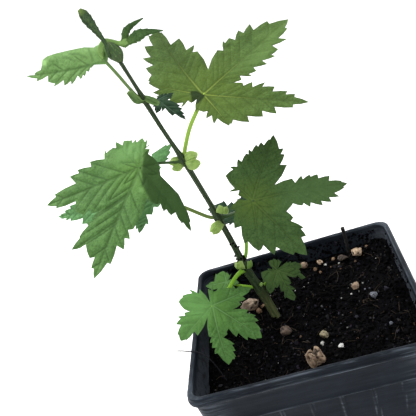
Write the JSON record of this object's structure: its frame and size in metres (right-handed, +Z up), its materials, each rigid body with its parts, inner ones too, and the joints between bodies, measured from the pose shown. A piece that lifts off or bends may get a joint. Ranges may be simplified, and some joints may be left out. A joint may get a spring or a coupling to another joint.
{
  "type": "potted hop bine",
  "caption": "Young potted hop bine: a slender climbing stem with opposite pairs of toothed, lobed leaves and pale stipules, growing in a square plastic nursery pot of dark soil.",
  "frame": {"origin": "centre of the flat underside of the pot", "axes": "+Z up out of the pot, X along the near edge of the rim to the right, +Y from the near edge to the far edge"},
  "size_m": [0.1278, 0.1042, 0.2258],
  "materials": {
    "pot_plastic": "satin",
    "soil": "matte",
    "stem": "satin",
    "leaf": "matte",
    "stipule": "matte",
    "bud": "matte",
    "young_leaf": "matte",
    "bark": "matte",
    "pebble": "matte",
    "perlite": "matte",
    "twig": "matte"
  },
  "bodies": {
    "root": {"pot": "pot_plastic", "soil": "soil", "stem": "stem", "leaf_lowest_left": "leaf", "leaf_lowest_right": "leaf", "leaf_lower_left": "leaf", "leaf_lower_right": "leaf", "leaf_middle_left": "leaf", "leaf_middle_right": "leaf", "leaf_upper_left": "leaf", "leaf_upper_right": "leaf", "leaf_top_left": "leaf", "leaf_top_right": "leaf", "stipule_lower_left": "stipule", "stipule_lower_right": "stipule", "stipule_middle_left": "stipule", "stipule_middle_right": "stipule", "stipule_upper_left": "stipule", "stipule_upper_right": "stipule", "stipule_top_left": "stipule", "stipule_top_right": "stipule", "bud_lowest": "bud", "tip_bud": "bud", "tip_leaf_folded": "young_leaf", "tip_leaf_inner": "young_leaf", "tip_leaf_outer": "young_leaf", "bark_chip_front": "bark", "bark_chip_left": "bark", "bark_chip_striped": "bark", "bark_chip_back_right": "bark", "bark_chip_back_middle": "bark", "bark_chip_back_left": "bark", "pebble_back_left": "pebble", "pebble_right": "pebble", "pebble_middle": "pebble", "perlite_white": "perlite", "perlite_grey": "perlite", "twig": "twig"}
  },
  "joints": []
}
